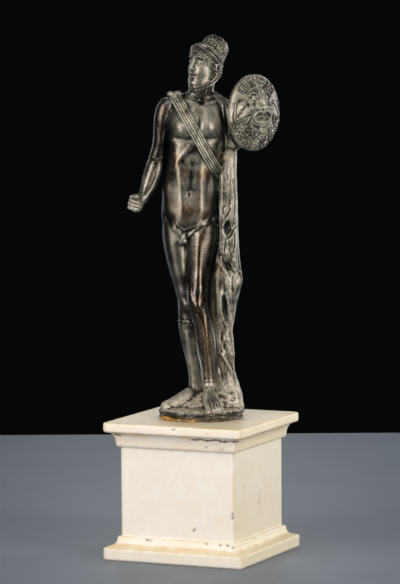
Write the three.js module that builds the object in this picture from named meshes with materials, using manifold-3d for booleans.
// Bronze statuette of a helmeted war god with a round shield, fixed on a moulded marble plinth.
// The frame is the plinth's: origin at the centre of its underside, faces square to X and Y, +Z up, in mm.
// The figure is cast in one with its helmet, baldric, cloak, tree stump, shield and oval ground. It is turned
// on the plinth, so it has a frame of its own: x to its left, -y to its front, z up from the plinth's top.
import * as THREE from "three";
import { mergeVertices } from "three/addons/utils/BufferGeometryUtils.js";
import Module from "manifold-3d";

// Driving dimensions of the plinth: half widths of its square courses, and heights above its underside.
const PLINTH_HEIGHT = 73.2;
const BASE_HALF = 40;
const CORNICE_HALF = 39.7;
const DADO_HALF = 32.7;
const BASE_SLAB_TOP = 6.7;
const DADO_FOOT = 12.3;
const DADO_HEAD = 60.2;
const CORNICE_SLAB_FOOT = 68.2;
const CORNER_RADIUS = 1.6;
const ARRIS = 0.8;

// Driving dimensions of the bronze, in the figure's frame.
const FIGURE_TURN = THREE.MathUtils.degToRad(24.2);
const GROUND_HALF = [22.4, 20.6];
const GROUND_CENTRE = [-0.4, -0.6];
const GAP = 0.3;
const WAX_TOP = 1.2;
const GROUND_FOOT = WAX_TOP + GAP;
const GROUND_TOP = 5.6;
const SHIELD_RADIUS = 20.3;
const SHIELD_BULGE = 5.4;
const SHIELD_WALL = 1.9;
const SHIELD_CENTRE = [29, 4.5, 161.8];
const SHIELD_TURN = THREE.MathUtils.degToRad(48);
const HEAD_CENTRE = [3.2, 0.2, 187.2];
const HEAD_TURN = THREE.MathUtils.degToRad(45);
const HEAD_LIFT = THREE.MathUtils.degToRad(8);
const HEAD_LEAN = THREE.MathUtils.degToRad(9);

// The baldric runs round the trunk in a slanting plane through this point, which leans back by its normal.
const BALDRIC_MIDDLE = [0.2, 1.5, 146];
const BALDRIC_NORMAL = [0.903, 0, 0.428];
const BALDRIC_HALF = 2.6;
const BALDRIC_THICK = 0.6;
const RIB_THICK = 1.25;
const RIB_WIDTH = 1;

const wasm = await Module();
wasm.setup();

// Vertices closer than this become one.
const WELD = 1e-4;

const vector = (p) => new THREE.Vector3(...p);
const UP = vector([0, 0, 1]);
const FRONT = vector([0, -1, 0]);

// A closed surface over a stack of rings of equal count, each end closed by a fan to its middle.
function skin(rings) {
  const sides = rings[0].length;
  const middle = (ring) => ring.reduce((sum, p) => sum.add(p), vector([0, 0, 0])).divideScalar(sides);
  const points = [...rings.flat(), middle(rings[0]), middle(rings.at(-1))];
  const low = points.length - 2;
  const high = points.length - 1;
  const last = (rings.length - 1) * sides;
  const index = [];
  for (let i = 0; i < sides; i++) {
    const j = (i + 1) % sides;
    index.push(low, j, i, high, last + i, last + j);
    for (let r = 0; r < last; r += sides) {
      index.push(r + i, r + j, r + sides + j, r + i, r + sides + j, r + sides + i);
    }
  }
  return new THREE.BufferGeometry().setFromPoints(points).setIndex(index);
}

// A closed surface over a loop of rings, the last joined to the first.
function hoop(rings) {
  const sides = rings[0].length;
  const index = [];
  rings.forEach((_, k) => {
    const low = k * sides;
    const high = ((k + 1) % rings.length) * sides;
    for (let i = 0; i < sides; i++) {
      const j = (i + 1) % sides;
      index.push(low + i, low + j, high + j, low + i, high + j, high + i);
    }
  });
  return new THREE.BufferGeometry().setFromPoints(rings.flat()).setIndex(index);
}

// How much a soft swelling lifts the surface at a point; a negative height hollows it.
function lift(point, { at, reach, height }) {
  const square = [point.x - at[0], point.y - at[1], point.z - at[2]]
    .map((d, i) => (d / reach[i]) ** 2)
    .reduce((a, b) => a + b);
  return height * Math.exp(-square);
}

// A limb or trunk: oval sections with their own side, front and back radii, splined through named stations.
// A level form keeps its rings horizontal; the others stand square to the path.
function limb(stations, { sides = 14, rings = 16, level = false, front = FRONT, square = 2, swells = [] }) {
  const spline = (pick) => new THREE.CatmullRomCurve3(stations.map(pick), false, "catmullrom", 0.5);
  const path = spline((s) => vector(s.at));
  const radii = spline((s) => vector([s.side, s.front, s.back]));
  const power = 2 / square;
  const rise = Math.sign(stations.at(-1).at[2] - stations[0].at[2]);
  const stack = [];
  for (let k = 0; k < rings; k++) {
    const t = k / (rings - 1);
    const centre = path.getPoint(t);
    const along = level ? UP.clone().multiplyScalar(rise) : path.getTangent(t);
    const side = front.clone().cross(along).normalize();
    const ahead = along.clone().cross(side);
    const { x: wide, y: fore, z: aft } = radii.getPoint(t);
    const ring = [];
    for (let i = 0; i < sides; i++) {
      const angle = (i / sides) * 2 * Math.PI;
      const c = Math.sign(Math.cos(angle)) * Math.abs(Math.cos(angle)) ** power;
      const s = Math.sign(Math.sin(angle)) * Math.abs(Math.sin(angle)) ** power;
      const out = side.clone().multiplyScalar(c * wide).addScaledVector(ahead, s * (s > 0 ? fore : aft));
      const point = centre.clone().add(out);
      const raise = swells.reduce((sum, swell) => sum + lift(point, swell), 0);
      ring.push(point.addScaledVector(out.normalize(), raise));
    }
    stack.push(ring);
  }
  return skin(stack);
}

// An ellipsoid, turned by Euler angles in degrees.
function egg(at, radii, turn = [0, 0, 0], segments = 10) {
  const euler = new THREE.Euler(...turn.map(THREE.MathUtils.degToRad));
  const spin = new THREE.Quaternion().setFromEuler(euler);
  const place = new THREE.Matrix4().compose(vector(at), spin, vector(radii));
  return new THREE.SphereGeometry(1, segments, Math.round(segments * 0.7)).applyMatrix4(place);
}

// A geometry with its close vertices made one, and without the triangles that this closes up.
function welded(position, index) {
  const bare = new THREE.BufferGeometry();
  bare.setAttribute("position", position);
  bare.setIndex(index);
  const merged = mergeVertices(bare, WELD);
  const { array } = merged.index;
  const corners = [];
  for (let i = 0; i < array.length; i += 3) {
    const [a, b, c] = array.slice(i, i + 3);
    if (a !== b && b !== c && c !== a) corners.push(a, b, c);
  }
  return merged.setIndex(corners);
}

// A closed geometry as a solid for joining and cutting.
function solid(geometry) {
  const merged = welded(geometry.getAttribute("position"), geometry.index);
  const vertProperties = merged.getAttribute("position").array;
  const triVerts = new Uint32Array(merged.index.array);
  return new wasm.Manifold(new wasm.Mesh({ numProp: 3, vertProperties, triVerts }));
}

// Several overlapping geometries joined to one solid.
const join = (geometries) => geometries.map(solid).reduce((a, b) => a.add(b));

// The outer skin of a joined solid as a geometry, without the pockets that its pieces enclosed.
function geometryOf(joined) {
  const { vertProperties, triVerts } = joined.getMesh();
  const parent = Array.from({ length: vertProperties.length / 3 }, (_, i) => i);
  const root = (i) => {
    while (parent[i] !== i) i = parent[i] = parent[parent[i]];
    return i;
  };
  const shells = new Map();
  for (let i = 0; i < triVerts.length; i += 3) {
    parent[root(triVerts[i])] = root(triVerts[i + 1]);
    parent[root(triVerts[i + 1])] = root(triVerts[i + 2]);
  }
  for (let i = 0; i < triVerts.length; i += 3) {
    const shell = root(triVerts[i]);
    if (!shells.has(shell)) shells.set(shell, []);
    shells.get(shell).push(...triVerts.slice(i, i + 3));
  }
  const [outer] = [...shells.values()].sort((one, other) => other.length - one.length);
  const index = new THREE.BufferAttribute(new Uint32Array(outer), 1);
  const geometry = welded(new THREE.BufferAttribute(vertProperties, 3), index);
  geometry.computeVertexNormals();
  return geometry;
}

// A swelling on each side of a middle line: offsets are across, forward and up from the middle.
function pair(middle, across, reach, height) {
  return [-1, 1].map((s) => ({ at: [middle[0] + s * across, middle[1], middle[2]], reach, height }));
}

// The trunk, from the fork of the legs to the root of the neck.
const TRUNK = [
  { at: [-8.6, 0.5, 92.5], side: 2.4, front: 3, back: 5 },
  { at: [-8, 0.5, 95.5], side: 5.8, front: 6.2, back: 8.4 },
  { at: [-6.7, 0.5, 99.5], side: 11, front: 8.2, back: 10.4 },
  { at: [-5.8, 0.5, 104], side: 14.3, front: 9.2, back: 11 },
  { at: [-5.9, 0.5, 109], side: 14.9, front: 9.5, back: 11 },
  { at: [-5.5, 0.5, 117], side: 14.5, front: 9.4, back: 9.6 },
  { at: [-4.8, 0.6, 126], side: 13.9, front: 9.3, back: 9 },
  { at: [-3.7, 0.8, 135], side: 14, front: 10, back: 9.5 },
  { at: [-2.8, 1, 144], side: 14.6, front: 11.2, back: 10.4 },
  { at: [-2.4, 1.2, 152], side: 15.2, front: 12, back: 11 },
  { at: [-2.4, 1.4, 159], side: 15.2, front: 11, back: 11.2 },
  { at: [-2.1, 1.6, 165], side: 14, front: 8.6, back: 10.4 },
  { at: [-1.4, 1.8, 169], side: 10.8, front: 6.2, back: 8.2 },
  { at: [-0.2, 1.9, 172.4], side: 7.4, front: 5.6, back: 6.4 },
  { at: [0.6, 1.8, 175], side: 5.6, front: 5, back: 5.4 },
];

// The neck, and the yoke of muscle that runs across it from shoulder to shoulder.
const NECK = [
  { at: [-0.2, 2.4, 167], side: 7.4, front: 5, back: 6 },
  { at: [0.3, 1.8, 171], side: 7, front: 5.8, back: 6 },
  { at: [0.9, 1, 175], side: 6.7, front: 5.8, back: 6 },
  { at: [2.2, 0.6, 180], side: 6.3, front: 5, back: 6.2 },
  { at: [3, 0.6, 184], side: 5, front: 4, back: 5 },
];
const YOKE = [
  { at: [-19, 1.4, 165.4], side: 2.6, front: 3, back: 3.2 },
  { at: [-15.4, 1.6, 166.6], side: 3.8, front: 4.4, back: 4.6 },
  { at: [-10, 1.8, 168], side: 3.6, front: 4.2, back: 4.6 },
  { at: [-4.6, 1.8, 169.6], side: 4, front: 4, back: 5 },
  { at: [1, 1.8, 170.6], side: 4.4, front: 4, back: 5 },
  { at: [6.4, 1.8, 169.8], side: 4, front: 4, back: 4.8 },
  { at: [10.4, 1.8, 167.4], side: 3.6, front: 4.2, back: 4.6 },
  { at: [14.6, 1.8, 164.6], side: 3, front: 3.6, back: 3.8 },
];
const TRUNK_SWELLS = [
  ...pair([-1.6, -10, 155.5], 7.4, [6, 6, 5], 1.7),
  ...pair([-1.6, -11, 149.2], 7.4, [6.5, 5, 1.5], -1),
  { at: [-1.4, -11, 157], reach: [1.5, 6, 9], height: -1.3 },
  ...pair([-4.2, -10, 139.5], 3.1, [2.6, 5, 3], 0.9),
  ...pair([-4.8, -10, 132.5], 3.1, [2.6, 5, 3], 0.9),
  ...pair([-5.2, -10, 125.8], 3.1, [2.6, 5, 2.8], 0.7),
  { at: [-6, -9, 119.3], reach: [1.5, 3, 1.5], height: -1.2 },
  { at: [-6.6, -9, 112], reach: [7, 6, 5.5], height: 1.1 },
  ...pair([-5, -2, 122.5], 13, [4, 7, 5], 1.5),
  ...pair([-6.8, -7, 106], 10, [3.4, 5, 3.4], -1.3),
  { at: [-2.6, 12, 148], reach: [2, 6, 24], height: -1.6 },
  ...pair([-2.6, 11, 156], 7.6, [5, 6, 6], 1.3),
  ...pair([-6, 11, 101.5], 7.2, [5.6, 7, 7], 3.4),
  { at: [-6, 13, 99], reach: [1.4, 6, 7], height: -2 },
];

// The standing leg, on the figure's right.
const STANDING_LEG = [
  { at: [-13.2, 0.5, 108], side: 5.6, front: 5.8, back: 7 },
  { at: [-12.7, 0.5, 102], side: 7.6, front: 8.3, back: 9.8 },
  { at: [-12.5, 0.5, 96], side: 7.8, front: 9.2, back: 10.2 },
  { at: [-11.9, 0.5, 88], side: 7.2, front: 9, back: 9 },
  { at: [-10.9, 0.5, 80], side: 6.4, front: 8.4, back: 7.8 },
  { at: [-9.4, 0.6, 72], side: 5.5, front: 7.2, back: 6.6 },
  { at: [-7.9, 0.8, 64], side: 4.9, front: 6, back: 5.4 },
  { at: [-7.4, 1, 59.5], side: 4.9, front: 5.9, back: 5.2 },
  { at: [-7.4, 1.4, 55], side: 4.7, front: 5, back: 5.8 },
  { at: [-7.3, 2, 49], side: 4.8, front: 4.6, back: 7 },
  { at: [-6.5, 2.6, 42.5], side: 4.6, front: 4.4, back: 6.8 },
  { at: [-5.4, 3.4, 35], side: 4, front: 4, back: 5.2 },
  { at: [-3.7, 4, 27.5], side: 3.9, front: 3.6, back: 3.8 },
  { at: [-2.9, 4.4, 20.5], side: 3.9, front: 3.5, back: 3.6 },
  { at: [-2.7, 5, 14], side: 4.1, front: 3.9, back: 4.2 },
  { at: [-2.8, 5.4, 8], side: 4.2, front: 4, back: 4.4 },
];

// The free leg, on the figure's left: its knee comes forward and in.
const FREE_LEG = [
  { at: [2.6, 0.4, 108], side: 5.6, front: 6, back: 7 },
  { at: [1.4, 0, 102], side: 7.8, front: 8.4, back: 9.8 },
  { at: [0.7, -0.6, 96], side: 8.4, front: 8.9, back: 9.8 },
  { at: [-0.5, -1.8, 89], side: 8.3, front: 8.8, back: 9 },
  { at: [-1.2, -3.6, 81], side: 6.9, front: 8.2, back: 7.8 },
  { at: [-1.9, -5.6, 73], side: 6.2, front: 7.4, back: 6.8 },
  { at: [-2.1, -7.4, 65], side: 5.7, front: 6.3, back: 5.6 },
  { at: [-1.6, -8.2, 60.5], side: 5.3, front: 5.9, back: 5.2 },
  { at: [-0.4, -8, 56], side: 5, front: 5.2, back: 5.6 },
  { at: [1.4, -7.4, 49], side: 5, front: 4.8, back: 7 },
  { at: [2.5, -6.8, 42], side: 5.1, front: 4.6, back: 7 },
  { at: [3.1, -6.4, 34.5], side: 4.2, front: 4.2, back: 5.4 },
  { at: [3.7, -6.2, 27], side: 3.4, front: 3.6, back: 3.9 },
  { at: [4.1, -6, 20], side: 3.2, front: 3.3, back: 3.4 },
  { at: [4.2, -5.6, 14], side: 3.2, front: 3.7, back: 4.2 },
  { at: [4.2, -5.2, 8], side: 3.4, front: 3.8, back: 4.4 },
];

// The band tied under the right knee, and the cuff above the left ankle, as swellings right round the leg.
const GARTER = { at: [-7.3, 1.6, 52], reach: [30, 30, 1.6], height: 0.7 };
const CUFF = { at: [4.1, -6, 18.4], reach: [30, 30, 2.4], height: 0.6 };

// Knee caps, shins and the thighs' long muscles, for a leg whose knee is at the place given.
function legSwells([x, y, z], shin) {
  return [
    { at: [x, y - 6, z + 1], reach: [2.4, 4, 2.6], height: 0.9 },
    { at: [x, y - 6, z - 4.5], reach: [3, 4, 1.8], height: -0.5 },
    { at: [x - 2.6, y - 5, z + 7], reach: [2.4, 4, 3.6], height: 0.8 },
    { at: [x + 2.6, y - 5, z + 8], reach: [2.4, 4, 3.6], height: 0.8 },
    { at: shin, reach: [1.2, 4, 12], height: 0.5 },
  ];
}

// A foot from heel to toes on the ground, lying along a heading in degrees from the figure's front.
function foot([x, y], heading, sides) {
  const turn = THREE.MathUtils.degToRad(heading);
  const ahead = vector([Math.sin(turn), -Math.cos(turn), 0]);
  const sole = GROUND_TOP - 0.6;
  // Distance ahead of the ankle, half width, and height of the instep above the sole.
  const sections = [
    [-6.4, 1.6, 3.2],
    [-5, 3, 7],
    [-1, 3.5, 10.4],
    [3, 3.7, 10.6],
    [6.6, 4, 9],
    [10.5, 4.4, 6.8],
    [14.5, 4.6, 5],
    [17.6, 4.2, 3.8],
    [19.8, 3, 2.4],
  ];
  const stations = sections.map(([run, half, height]) => ({
    at: [x + ahead.x * run, y + ahead.y * run, sole + height / 2],
    side: half,
    front: height / 2,
    back: height / 2,
  }));
  return limb(stations, { sides, rings: 11, front: UP, square: 2.3 });
}

// Toes as a row of small rolls at the end of a foot.
function toes([x, y], heading, count) {
  const turn = THREE.MathUtils.degToRad(heading);
  const ahead = [Math.sin(turn), -Math.cos(turn)];
  const across = [Math.cos(turn), Math.sin(turn)];
  return Array.from({ length: count }, (_, i) => {
    const lane = (i / (count - 1) - 0.5) * 7;
    const run = 18.6 - Math.abs(i - 0.6) * 0.55;
    const spot = [0, 1].map((k) => (k ? y : x) + ahead[k] * run + across[k] * lane);
    return egg([...spot, GROUND_TOP + 0.8], [0.95, 2.4, 1.5], [0, 0, heading], 6);
  });
}

// The arm that hangs at the figure's right, bent a little outward.
const UPPER_ARM = [
  { at: [-14.5, 1.2, 167.6], side: 3.6, front: 4, back: 4.2 },
  { at: [-17.4, 1.2, 165], side: 5.2, front: 5.2, back: 5.4 },
  { at: [-18.9, 1.4, 159.5], side: 5.4, front: 5.4, back: 5.4 },
  { at: [-20, 1.8, 154], side: 4.7, front: 5, back: 4.9 },
  { at: [-20.9, 2.4, 148], side: 4.1, front: 4.9, back: 4.8 },
  { at: [-21.7, 3, 142.5], side: 4.2, front: 4.4, back: 4.6 },
  { at: [-22.6, 3.3, 138], side: 4.7, front: 4.4, back: 4.6 },
  { at: [-23.4, 3, 134.5], side: 4, front: 3.8, back: 3.8 },
];
const FOREARM = [
  { at: [-21.8, 3.4, 140.5], side: 3.6, front: 3.6, back: 3.8 },
  { at: [-22.8, 3, 136.5], side: 4.8, front: 4.6, back: 4.6 },
  { at: [-24.2, 2.2, 132], side: 4.9, front: 4.8, back: 4.6 },
  { at: [-26.2, 0.9, 126.5], side: 4.5, front: 4.2, back: 4.2 },
  { at: [-28, -0.4, 121.8], side: 3.8, front: 3.4, back: 3.6 },
  { at: [-29.8, -1.6, 118.4], side: 3.2, front: 2.9, back: 3 },
  { at: [-32, -2.8, 116.4], side: 3.3, front: 3, back: 3 },
];

// The closed fist: a palm, four curled fingers one under the other, and the thumb across them.
const FIST_CENTRE = [-34.2, -4, 115];
function fist() {
  const [x, y, z] = FIST_CENTRE;
  const fingers = [0, 1, 2, 3].map((i) => {
    const drop = 3.2 - i * 2.1;
    const stations = [-70, -20, 40, 95, 140].map((degrees) => {
      const angle = THREE.MathUtils.degToRad(degrees);
      const out = 2.5 - Math.abs(drop) * 0.2;
      const at = [x - Math.sin(angle) * out, y - Math.cos(angle) * out, z + drop];
      return { at, side: 1.15, front: 1.1, back: 1.1 };
    });
    return limb(stations, { sides: 6, rings: 5, front: UP });
  });
  const thumb = [
    { at: [x + 2.6, y + 0.2, z + 2.4], side: 1.3, front: 1.3, back: 1.3 },
    { at: [x + 1.4, y - 3.2, z + 3.6], side: 1.4, front: 1.3, back: 1.3 },
    { at: [x - 1.2, y - 4.4, z + 3.8], side: 1.3, front: 1.2, back: 1.2 },
    { at: [x - 2.8, y - 4, z + 3.4], side: 0.9, front: 0.9, back: 0.9 },
  ];
  const palm = egg([x + 0.6, y + 0.3, z], [3.2, 2.9, 4.2]);
  return [palm, limb(thumb, { sides: 6, rings: 6, front: UP }), ...fingers];
}

// The arm that carries the shield, at the figure's left.
const SHIELD_UPPER_ARM = [
  { at: [9.5, 1.6, 168], side: 3.6, front: 4, back: 4.2 },
  { at: [12, 1.8, 165], side: 5, front: 5.2, back: 5.4 },
  { at: [13.4, 2.4, 159.5], side: 5, front: 5.2, back: 5.4 },
  { at: [14.4, 3.4, 153.5], side: 4.3, front: 4.8, back: 4.8 },
  { at: [14.8, 4.4, 148], side: 5.1, front: 5, back: 5 },
  { at: [15.4, 4.8, 144.5], side: 5.3, front: 4.4, back: 4.6 },
  { at: [15.8, 5, 141.6], side: 4.4, front: 3.6, back: 3.8 },
];
const SHIELD_FOREARM = [
  { at: [15.4, 5.2, 144.6], side: 3.2, front: 3.4, back: 3.4 },
  { at: [18.2, 6, 145.8], side: 4.2, front: 4.4, back: 4.2 },
  { at: [22.2, 6.6, 149.6], side: 4, front: 4.2, back: 4 },
  { at: [25.8, 6, 154], side: 3.4, front: 3.6, back: 3.4 },
  { at: [28.6, 5.6, 158.6], side: 3.4, front: 3.8, back: 3.4 },
  { at: [30.6, 5.2, 162.6], side: 3, front: 3.6, back: 3.2 },
];

// The cloak that hangs from the shield arm and runs out into a tree stump on the ground.
const CLOAK = [
  { at: [12.2, 2.4, 3], side: 10.6, front: 8.6, back: 9 },
  { at: [12.2, 2.4, 8], side: 10, front: 7.9, back: 8.6 },
  { at: [12.4, 2.6, 12], side: 9.3, front: 7, back: 7.8 },
  { at: [12.2, 2.6, 16.5], side: 7.9, front: 6, back: 7 },
  { at: [11.6, 2.6, 22], side: 6.6, front: 5.3, back: 6.2 },
  { at: [11.3, 2.6, 30], side: 6.2, front: 5, back: 5.8 },
  { at: [11.2, 2.6, 38], side: 6.2, front: 5, back: 5.6 },
  { at: [10.8, 2.4, 46], side: 6.1, front: 5.1, back: 5.8 },
  { at: [10.6, 2.2, 53], side: 7.2, front: 5.6, back: 6.4 },
  { at: [10.6, 2, 60], side: 8.4, front: 6.4, back: 7.2 },
  { at: [11.4, 1.8, 67], side: 9.3, front: 7.2, back: 7.8 },
  { at: [12.2, 1.8, 74], side: 9.4, front: 7.2, back: 7.8 },
  { at: [12.9, 1.8, 81], side: 8.2, front: 6.8, back: 7.4 },
  { at: [13.3, 1.6, 88], side: 7.2, front: 6.4, back: 7.2 },
  { at: [13.8, 1.4, 96], side: 6.3, front: 6, back: 7 },
  { at: [14.1, 1.4, 105], side: 5.8, front: 6, back: 7 },
  { at: [14.1, 1.4, 115], side: 5.6, front: 5.8, back: 6.8 },
  { at: [14.1, 1.4, 124], side: 5.4, front: 5.6, back: 6.6 },
  { at: [14.3, 1.6, 131], side: 5, front: 5.4, back: 6.4 },
  { at: [14.5, 2.2, 136.5], side: 5, front: 4.9, back: 5.8 },
  { at: [14.9, 3.2, 140.4], side: 4.6, front: 4.3, back: 5 },
  { at: [16.6, 4.6, 144.4], side: 2.6, front: 2.8, back: 3 },
];

// The cloak's folds: long swags, the forked hollow at hip height, the hem's bulge and the stump's knots.
const CLOAK_SWELLS = [
  { at: [12, -4, 122], reach: [1.8, 4, 14], height: 0.8 },
  { at: [17, -4, 118], reach: [1.8, 4, 16], height: 0.9 },
  { at: [14.4, -5, 101.5], reach: [2.6, 4, 5], height: -2.4 },
  { at: [18, -4, 94], reach: [2.2, 4, 6], height: 0.9 },
  { at: [16, -4.5, 80.5], reach: [3.2, 4, 4], height: -2.6 },
  { at: [10.6, -5, 84], reach: [2.2, 4, 5], height: 0.9 },
  { at: [19.5, -1, 73.5], reach: [3, 5, 4], height: 1.1 },
  { at: [10, -4.6, 60], reach: [1.6, 4, 9], height: 0.9 },
  { at: [13, -4.6, 60], reach: [1.7, 4, 9], height: -1.4 },
  { at: [16, -4.4, 58], reach: [1.6, 4, 9], height: 0.9 },
  { at: [16, -1, 34], reach: [2.4, 3, 3], height: 0.9 },
  { at: [19, -3, 15], reach: [2, 4, 5], height: 0.9 },
  { at: [12, 9, 60], reach: [1.6, 5, 30], height: 1 },
  { at: [16, 8, 70], reach: [1.6, 5, 30], height: -1 },
];

// The low mound between the feet and the stump.
const MOUND = [
  { at: [-2, 3.5, 3], side: 16, front: 10, back: 10.5 },
  { at: [-1, 3.6, 6.5], side: 14, front: 8.4, back: 9.6 },
  { at: [1.4, 4, 10], side: 10, front: 6, back: 7.6 },
  { at: [3, 4.4, 13.4], side: 6, front: 3.6, back: 4.6 },
];

// The oval ground, its edge a little uneven.
function ground() {
  const sides = 26;
  // Share of the outline's reach, and height, from the underside up to the top.
  const profile = [
    [0.93, GROUND_FOOT],
    [0.985, GROUND_FOOT + 1.4],
    [1, GROUND_TOP - 1.4],
    [0.965, GROUND_TOP - 0.6],
    [0.9, GROUND_TOP],
  ];
  const rings = profile.map(([share, height]) =>
    Array.from({ length: sides }, (_, i) => {
      const angle = (i / sides) * 2 * Math.PI;
      const long = 0.014 * Math.sin(3 * angle + 0.6);
      const wave = 1 + long + 0.011 * Math.sin(7 * angle) + 0.007 * Math.sin(11 * angle);
      const x = GROUND_CENTRE[0] + GROUND_HALF[0] * share * wave * Math.cos(angle);
      const y = GROUND_CENTRE[1] + GROUND_HALF[1] * share * wave * Math.sin(angle);
      return vector([x, y, height]);
    }),
  );
  return skin(rings);
}

// The head's own frame: face to -y, up +z, the middle of the skull at its origin.
const HEAD = [
  { at: [0, -5.4, -12.2], side: 2.4, front: 2, back: 2.8 },
  { at: [0, -4.2, -11], side: 5, front: 4.4, back: 5.6 },
  { at: [0, -2.2, -8.6], side: 6.7, front: 6.6, back: 8.4 },
  { at: [0, -1, -5.4], side: 7.4, front: 8, back: 9.8 },
  { at: [0, -0.4, -2], side: 7.6, front: 8.9, back: 10.2 },
  { at: [0, 0, 1.4], side: 7.8, front: 9.2, back: 10.6 },
  { at: [0, 0.2, 4.6], side: 7.8, front: 9.6, back: 10.4 },
  { at: [0, 0.4, 8], side: 7, front: 8.6, back: 9.4 },
  { at: [0, 0.5, 11], side: 4.4, front: 5.4, back: 6 },
  { at: [0, 0.5, 12.2], side: 1.6, front: 2, back: 2.2 },
];
const FACE = [
  ...pair([0, -9, 1], 3.1, [2.3, 5, 1.9], -1.2),
  { at: [0, -10, -7.4], reach: [4, 5, 1.4], height: -0.4 },
  ...pair([0, -8, -3.4], 5, [2.4, 4, 2.4], 0.3),
];

// The nose, lids, brows, lips and chin in the head's frame, of calm and regular proportions.
function features() {
  const nose = [
    { at: [0, -8.4, 2.6], side: 0.8, front: 1, back: 1.4 },
    { at: [0, -9.4, 0.6], side: 0.9, front: 1, back: 1.8 },
    { at: [0, -10.4, -1.6], side: 1.1, front: 1.1, back: 2 },
    { at: [0, -10.4, -2.8], side: 1.5, front: 1, back: 2 },
    { at: [0, -9.2, -3.4], side: 1, front: 0.8, back: 1.4 },
  ];
  return [
    limb(nose, { sides: 6, rings: 6 }),
    ...[-1, 1].flatMap((s) => [
      egg([s * 3.1, -7.9, 1], [1.5, 0.9, 0.9], [0, 0, s * 14], 6),
      egg([s * 3.2, -8.2, 3.1], [2.5, 1, 0.7], [0, s * 8, s * 16], 6),
    ]),
    egg([0, -8.6, -5.8], [2.1, 0.9, 0.55], [0, 0, 0], 6),
    egg([0, -8.3, -7], [1.7, 0.9, 0.6], [0, 0, 0], 6),
    egg([0, -7.4, -10.2], [2.2, 1.6, 1.5], [0, 0, 0], 6),
  ];
}

// The helmet in the head's frame, on an axis that leans back: a flared brim, its band, and a tall dome.
const HELMET_LEAN = THREE.MathUtils.degToRad(28);
const HELMET_SEAT = [0, 0.6, 2.2];
const HELMET = [
  { at: [0, 0, -0.5], side: 8, front: 9.8, back: 9.8 },
  { at: [0, -0.4, 0], side: 9.5, front: 12.4, back: 10.8 },
  { at: [0, -0.4, 0.9], side: 9.6, front: 12.5, back: 10.9 },
  { at: [0, 0, 1.6], side: 8.8, front: 10.8, back: 10.2 },
  { at: [0, 0, 2.5], side: 9.1, front: 10.8, back: 10.4 },
  { at: [0, 0.2, 3.4], side: 8.2, front: 9.4, back: 9.4 },
  { at: [0, 0.6, 4.6], side: 7.3, front: 8, back: 8.2 },
  { at: [0, 0.8, 7.4], side: 7.1, front: 7.4, back: 7.8 },
  { at: [0, 1, 10.8], side: 6.9, front: 7, back: 7.4 },
  { at: [0, 0.9, 13.8], side: 5.9, front: 5.9, back: 6.2 },
  { at: [0, 0.8, 16], side: 3.8, front: 3.8, back: 4 },
  { at: [0, 0.8, 16.9], side: 1.5, front: 1.5, back: 1.5 },
];

// Rows of rounded tufts over the dome of the helmet.
function domeTufts() {
  const rows = [
    { height: 6, count: 9, out: 0.7 },
    { height: 9.6, count: 8, out: 0.8 },
    { height: 13.2, count: 7, out: 0.8 },
  ];
  return rows.flatMap(({ height, count, out }, row) =>
    Array.from({ length: count }, (_, i) => {
      const angle = ((i + (row % 2) / 2) / count) * 2 * Math.PI;
      const reach = 7.5 - row * 0.6;
      const at = [Math.sin(angle) * reach, 0.9 - Math.cos(angle) * reach, height];
      return { at, reach: [1.7, 1.7, 1.4], height: out };
    }),
  );
}

// The strap that holds the helmet under the chin, in the head's frame.
function chinStrap() {
  const steps = 14;
  const stations = Array.from({ length: steps }, (_, i) => {
    const angle = THREE.MathUtils.degToRad(-84 + (168 * i) / (steps - 1));
    const across = 8.5 * Math.sin(angle) * (1 - 0.06 * Math.cos(angle));
    const at = [across, 0.9 - 5.8 * Math.cos(angle) ** 1.2, 0.5 - 12.7 * Math.cos(angle)];
    return { at, side: 1.25, front: 0.75, back: 0.75 };
  });
  return limb(stations, { sides: 6, rings: 16, front: FRONT });
}

// Head, face, ears, helmet and strap, put in their place on the neck.
function headAndHelmet() {
  const tilt = new THREE.Matrix4().makeRotationX(-HELMET_LEAN).setPosition(...HELMET_SEAT);
  const helmet = limb(HELMET, { sides: 14, rings: 14, level: true, swells: domeTufts() }).applyMatrix4(tilt);
  const pieces = [
    limb(HEAD, { sides: 18, rings: 14, level: true, square: 2.1, swells: FACE }),
    ...features(),
    helmet,
    chinStrap(),
    ...[-1, 1].map((s) => egg([s * 7.7, 1, -1.2], [0.9, 1.7, 2.5], [12, 0, 0], 6)),
  ];
  // The head turns to the figure's right, lifts its chin and leans to its left.
  const turn = new THREE.Matrix4()
    .makeRotationY(HEAD_LEAN)
    .multiply(new THREE.Matrix4().makeRotationZ(-HEAD_TURN))
    .multiply(new THREE.Matrix4().makeRotationX(-HEAD_LIFT))
    .setPosition(...HEAD_CENTRE);
  return pieces.map((piece) => piece.applyMatrix4(turn));
}

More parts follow.
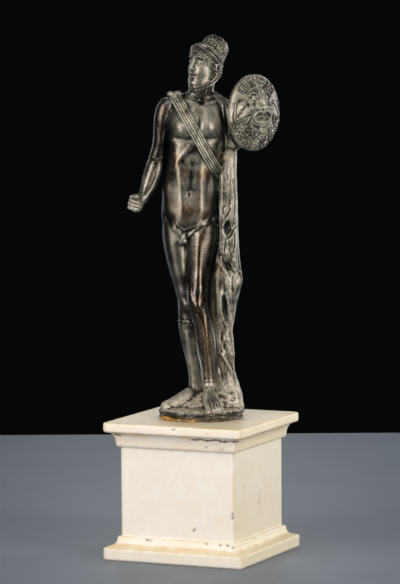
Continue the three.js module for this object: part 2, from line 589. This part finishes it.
// Relief of the shield in its own frame, across u and up v from its centre: a rim, and a mask with open
// mouth, winged temples, hair above and a beard below.
function maskRelief(u, v) {
  const hill = (cu, cv, ru, rv, height) => height * Math.exp(-(((u - cu) / ru) ** 2) - ((v - cv) / rv) ** 2);
  const twin = (cu, cv, ru, rv, height) => hill(cu, cv, ru, rv, height) + hill(-cu, cv, ru, rv, height);
  const radius = Math.hypot(u, v);
  const angle = Math.atan2(v, u);
  const band = (middle, half) => Math.exp(-(((radius - middle) / half) ** 2));
  const hair = 0.4 * Math.cos(10 * angle) * band(15.4, 2.4) * (v > 4 ? 1 : 0);
  const beard = 0.5 * Math.cos(8 * angle) * band(12.4, 3.4) * (v < -6 ? 1 : 0);
  return (
    0.5 * band(SHIELD_RADIUS - 0.8, 0.9) +
    hair +
    beard +
    hill(0, 3, 9.5, 10, 1.1) +
    twin(5.4, 11.2, 4, 1.3, 1.1) +
    twin(5.4, 8.4, 2.8, 1.6, -1.1) +
    twin(5.4, 8.2, 1.4, 1.1, 1.2) +
    hill(0, 5.4, 1.9, 4.4, 2) +
    hill(0, 1.6, 3.4, 1.4, 1.1) +
    hill(0, -3, 4.2, 1.8, -2) +
    hill(0, -6, 4.4, 1.1, 1) +
    twin(7.6, 1, 2.8, 3, 0.8) +
    twin(14, 0, 2.2, 5, 1.2) +
    hill(0, -12.5, 2.4, 4, 1)
  );
}

// The domed round shield as front rings from the crown to the rim, then the hollow back.
function shield() {
  const sides = 32;
  const shares = [0.07, 0.14, 0.21, 0.28, 0.35, 0.43, 0.51, 0.6, 0.69, 0.78, 0.87, 0.95, 1];
  const dome = (share) => SHIELD_BULGE * (1 - share ** 2);
  const ring = (share, height, relief) =>
    Array.from({ length: sides }, (_, i) => {
      const angle = (i / sides) * 2 * Math.PI;
      const u = SHIELD_RADIUS * share * Math.cos(angle);
      const v = SHIELD_RADIUS * share * Math.sin(angle);
      return vector([u, -height(share) - (relief ? maskRelief(u, v) : 0), v]);
    });
  const front = shares.map((share) => ring(share, dome, true));
  const back = [0.98, 0.6].map((share) => ring(share, (s) => dome(s) - SHIELD_WALL, false));
  const turn = new THREE.Matrix4().makeRotationZ(SHIELD_TURN).setPosition(...SHIELD_CENTRE);
  return skin([...back.reverse(), ...front.reverse()]).applyMatrix4(turn);
}

// The baldric: a ribbed strap laid round the forms given, where its slanting plane meets their outer skin.
function baldric(forms) {
  const steps = 28;
  const reach = 60;
  const meshes = forms.map((form) => new THREE.Mesh(form));
  const across = vector(BALDRIC_NORMAL).normalize();
  const climb = vector([-across.z, 0, across.x]);
  const middle = vector(BALDRIC_MIDDLE);
  const path = Array.from({ length: steps }, (_, k) => {
    const angle = (k / steps) * 2 * Math.PI;
    const out = climb.clone().multiplyScalar(Math.cos(angle)).addScaledVector(FRONT, Math.sin(angle));
    const from = middle.clone().addScaledVector(out, reach);
    const [hit] = new THREE.Raycaster(from, out.clone().negate()).intersectObjects(meshes);
    return hit.point;
  });
  const inner = BALDRIC_HALF - RIB_WIDTH;
  const bed = -0.9;
  // Offsets across the strap and out from the skin, round its section.
  const section = [
    [-BALDRIC_HALF, bed],
    [-BALDRIC_HALF, RIB_THICK],
    [-inner, RIB_THICK],
    [-inner + 0.3, BALDRIC_THICK],
    [inner - 0.3, BALDRIC_THICK],
    [inner, RIB_THICK],
    [BALDRIC_HALF, RIB_THICK],
    [BALDRIC_HALF, bed],
  ];
  const rings = path.map((point, k) => {
    const run = path[(k + 1) % steps].clone().sub(path.at(k - 1));
    const out = across.clone().cross(run).normalize();
    return section.map(([w, h]) => point.clone().addScaledVector(across, w).addScaledVector(out, h));
  });
  return hoop(rings);
}

// The whole casting.
function bronzeFigure() {
  const trunk = limb(TRUNK, { sides: 18, rings: 23, level: true, square: 2.35, swells: TRUNK_SWELLS });
  const yoke = limb(YOKE, { sides: 10, rings: 10 });
  const leg = { sides: 12, rings: 17, level: true };
  const standing = { ...leg, swells: [...legSwells([-7.4, 1, 60], [-6.6, -2, 42]), GARTER] };
  const free = { ...leg, swells: [...legSwells([-1.6, -8.2, 60.5], [2.6, -11.4, 42]), CUFF] };
  return join([
    trunk,
    yoke,
    baldric([trunk, yoke]),
    limb(STANDING_LEG, standing),
    limb(FREE_LEG, free),
    foot([-3, 5], -66, 10),
    foot([4.2, -5.2], 10, 10),
    ...toes([-3, 5], -66, 5),
    ...toes([4.2, -5.2], 10, 5),
    limb(NECK, { sides: 12, rings: 5 }),
    limb(UPPER_ARM, { sides: 10, rings: 11 }),
    limb(FOREARM, { sides: 10, rings: 10 }),
    ...fist(),
    limb(SHIELD_UPPER_ARM, { sides: 10, rings: 8 }),
    limb(SHIELD_FOREARM, { sides: 10, rings: 8, front: UP }),
    limb(CLOAK, { sides: 16, rings: 25, level: true, square: 2.2, swells: CLOAK_SWELLS }),
    limb(MOUND, { sides: 16, rings: 6, level: true }),
    ground(),
    shield(),
    ...headAndHelmet(),
    egg([-12.6, 0.2, 170.8], [3.9, 3.4, 2.9], [0, 16, 0], 8),
    egg([-9.6, -8.8, 96.6], [1.6, 1.8, 2.8], [0, 0, 0], 6),
    egg([-9.6, -8.2, 94.8], [2.5, 1.8, 2], [0, 0, 0], 6),
  ]);
}

// The bed of wax under the bronze that fixes it to the marble.
function waxBed() {
  const sides = 20;
  const ring = (share, height) =>
    Array.from({ length: sides }, (_, i) => {
      const angle = (i / sides) * 2 * Math.PI;
      const wave = share * (1 + 0.02 * Math.sin(5 * angle + 1));
      const x = GROUND_CENTRE[0] + GROUND_HALF[0] * wave * Math.cos(angle);
      const y = GROUND_CENTRE[1] + GROUND_HALF[1] * wave * Math.sin(angle);
      return vector([x, y, height]);
    });
  return skin([ring(0.93, GAP), ring(0.9, WAX_TOP)]);
}

// The marble plinth: one profile of half width and height, run round a square with softened corners.
function plinth() {
  const sweep = (from, to, centre, radius, steps) =>
    Array.from({ length: steps + 1 }, (_, i) => {
      const angle = THREE.MathUtils.degToRad(from + ((to - from) * i) / steps);
      return [centre[0] + radius[0] * Math.cos(angle), centre[1] + radius[1] * Math.sin(angle)];
    });
  const baseHollow = [38.6, 11.2];
  const corniceHollow = [38.4, 61.6];
  const profile = [
    [BASE_HALF - 0.6, 0],
    [BASE_HALF, 0.7],
    ...sweep(0, 90, [BASE_HALF - ARRIS, BASE_SLAB_TOP - ARRIS], [ARRIS, ARRIS], 2),
    ...sweep(270, 180, baseHollow, [baseHollow[0] - 34.5, baseHollow[1] - BASE_SLAB_TOP - 0.3], 4),
    [34.1, DADO_FOOT],
    [DADO_HALF, DADO_FOOT + 0.2],
    [DADO_HALF, DADO_HEAD],
    [34.5, DADO_HEAD],
    ...sweep(180, 90, corniceHollow, [corniceHollow[0] - 34.8, CORNICE_SLAB_FOOT - 0.2 - corniceHollow[1]], 4),
    ...sweep(-90, 0, [CORNICE_HALF - ARRIS, CORNICE_SLAB_FOOT + ARRIS], [ARRIS, ARRIS], 2),
    ...sweep(0, 90, [CORNICE_HALF - ARRIS, PLINTH_HEIGHT - ARRIS], [ARRIS, ARRIS], 2),
  ];
  const turns = 2;
  const ring = ([half, height]) =>
    [0, 1, 2, 3].flatMap((corner) =>
      Array.from({ length: turns + 1 }, (_, i) => {
        const angle = ((corner + i / turns) * Math.PI) / 2;
        const middle = ((corner + 0.5) * Math.PI) / 2;
        const reach = (half - CORNER_RADIUS) * Math.SQRT2;
        const x = reach * Math.cos(middle) + CORNER_RADIUS * Math.cos(angle);
        const y = reach * Math.sin(middle) + CORNER_RADIUS * Math.sin(angle);
        return vector([x, y, height]);
      }),
    );
  return skin(profile.map(ring));
}

const bronze = new THREE.MeshStandardMaterial({ color: 0x3a3128, roughness: 0.38, metalness: 1 });
const marble = new THREE.MeshStandardMaterial({ color: 0xece2d2, roughness: 0.45, metalness: 0 });
const wax = new THREE.MeshStandardMaterial({ color: 0xb9791f, roughness: 0.4, metalness: 0 });

function piece(name, geometry, material) {
  const mesh = new THREE.Mesh(geometry, material);
  mesh.name = name;
  return mesh;
}

const figureGroup = new THREE.Group();
figureGroup.position.z = PLINTH_HEIGHT;
figureGroup.rotation.z = FIGURE_TURN;
figureGroup.add(piece("bronze_figure", geometryOf(bronzeFigure()), bronze));
figureGroup.add(piece("fixing_wax", waxBed(), wax));

const statuette = new THREE.Group();
statuette.add(piece("marble_plinth", plinth(), marble));
statuette.add(figureGroup);

export default statuette;
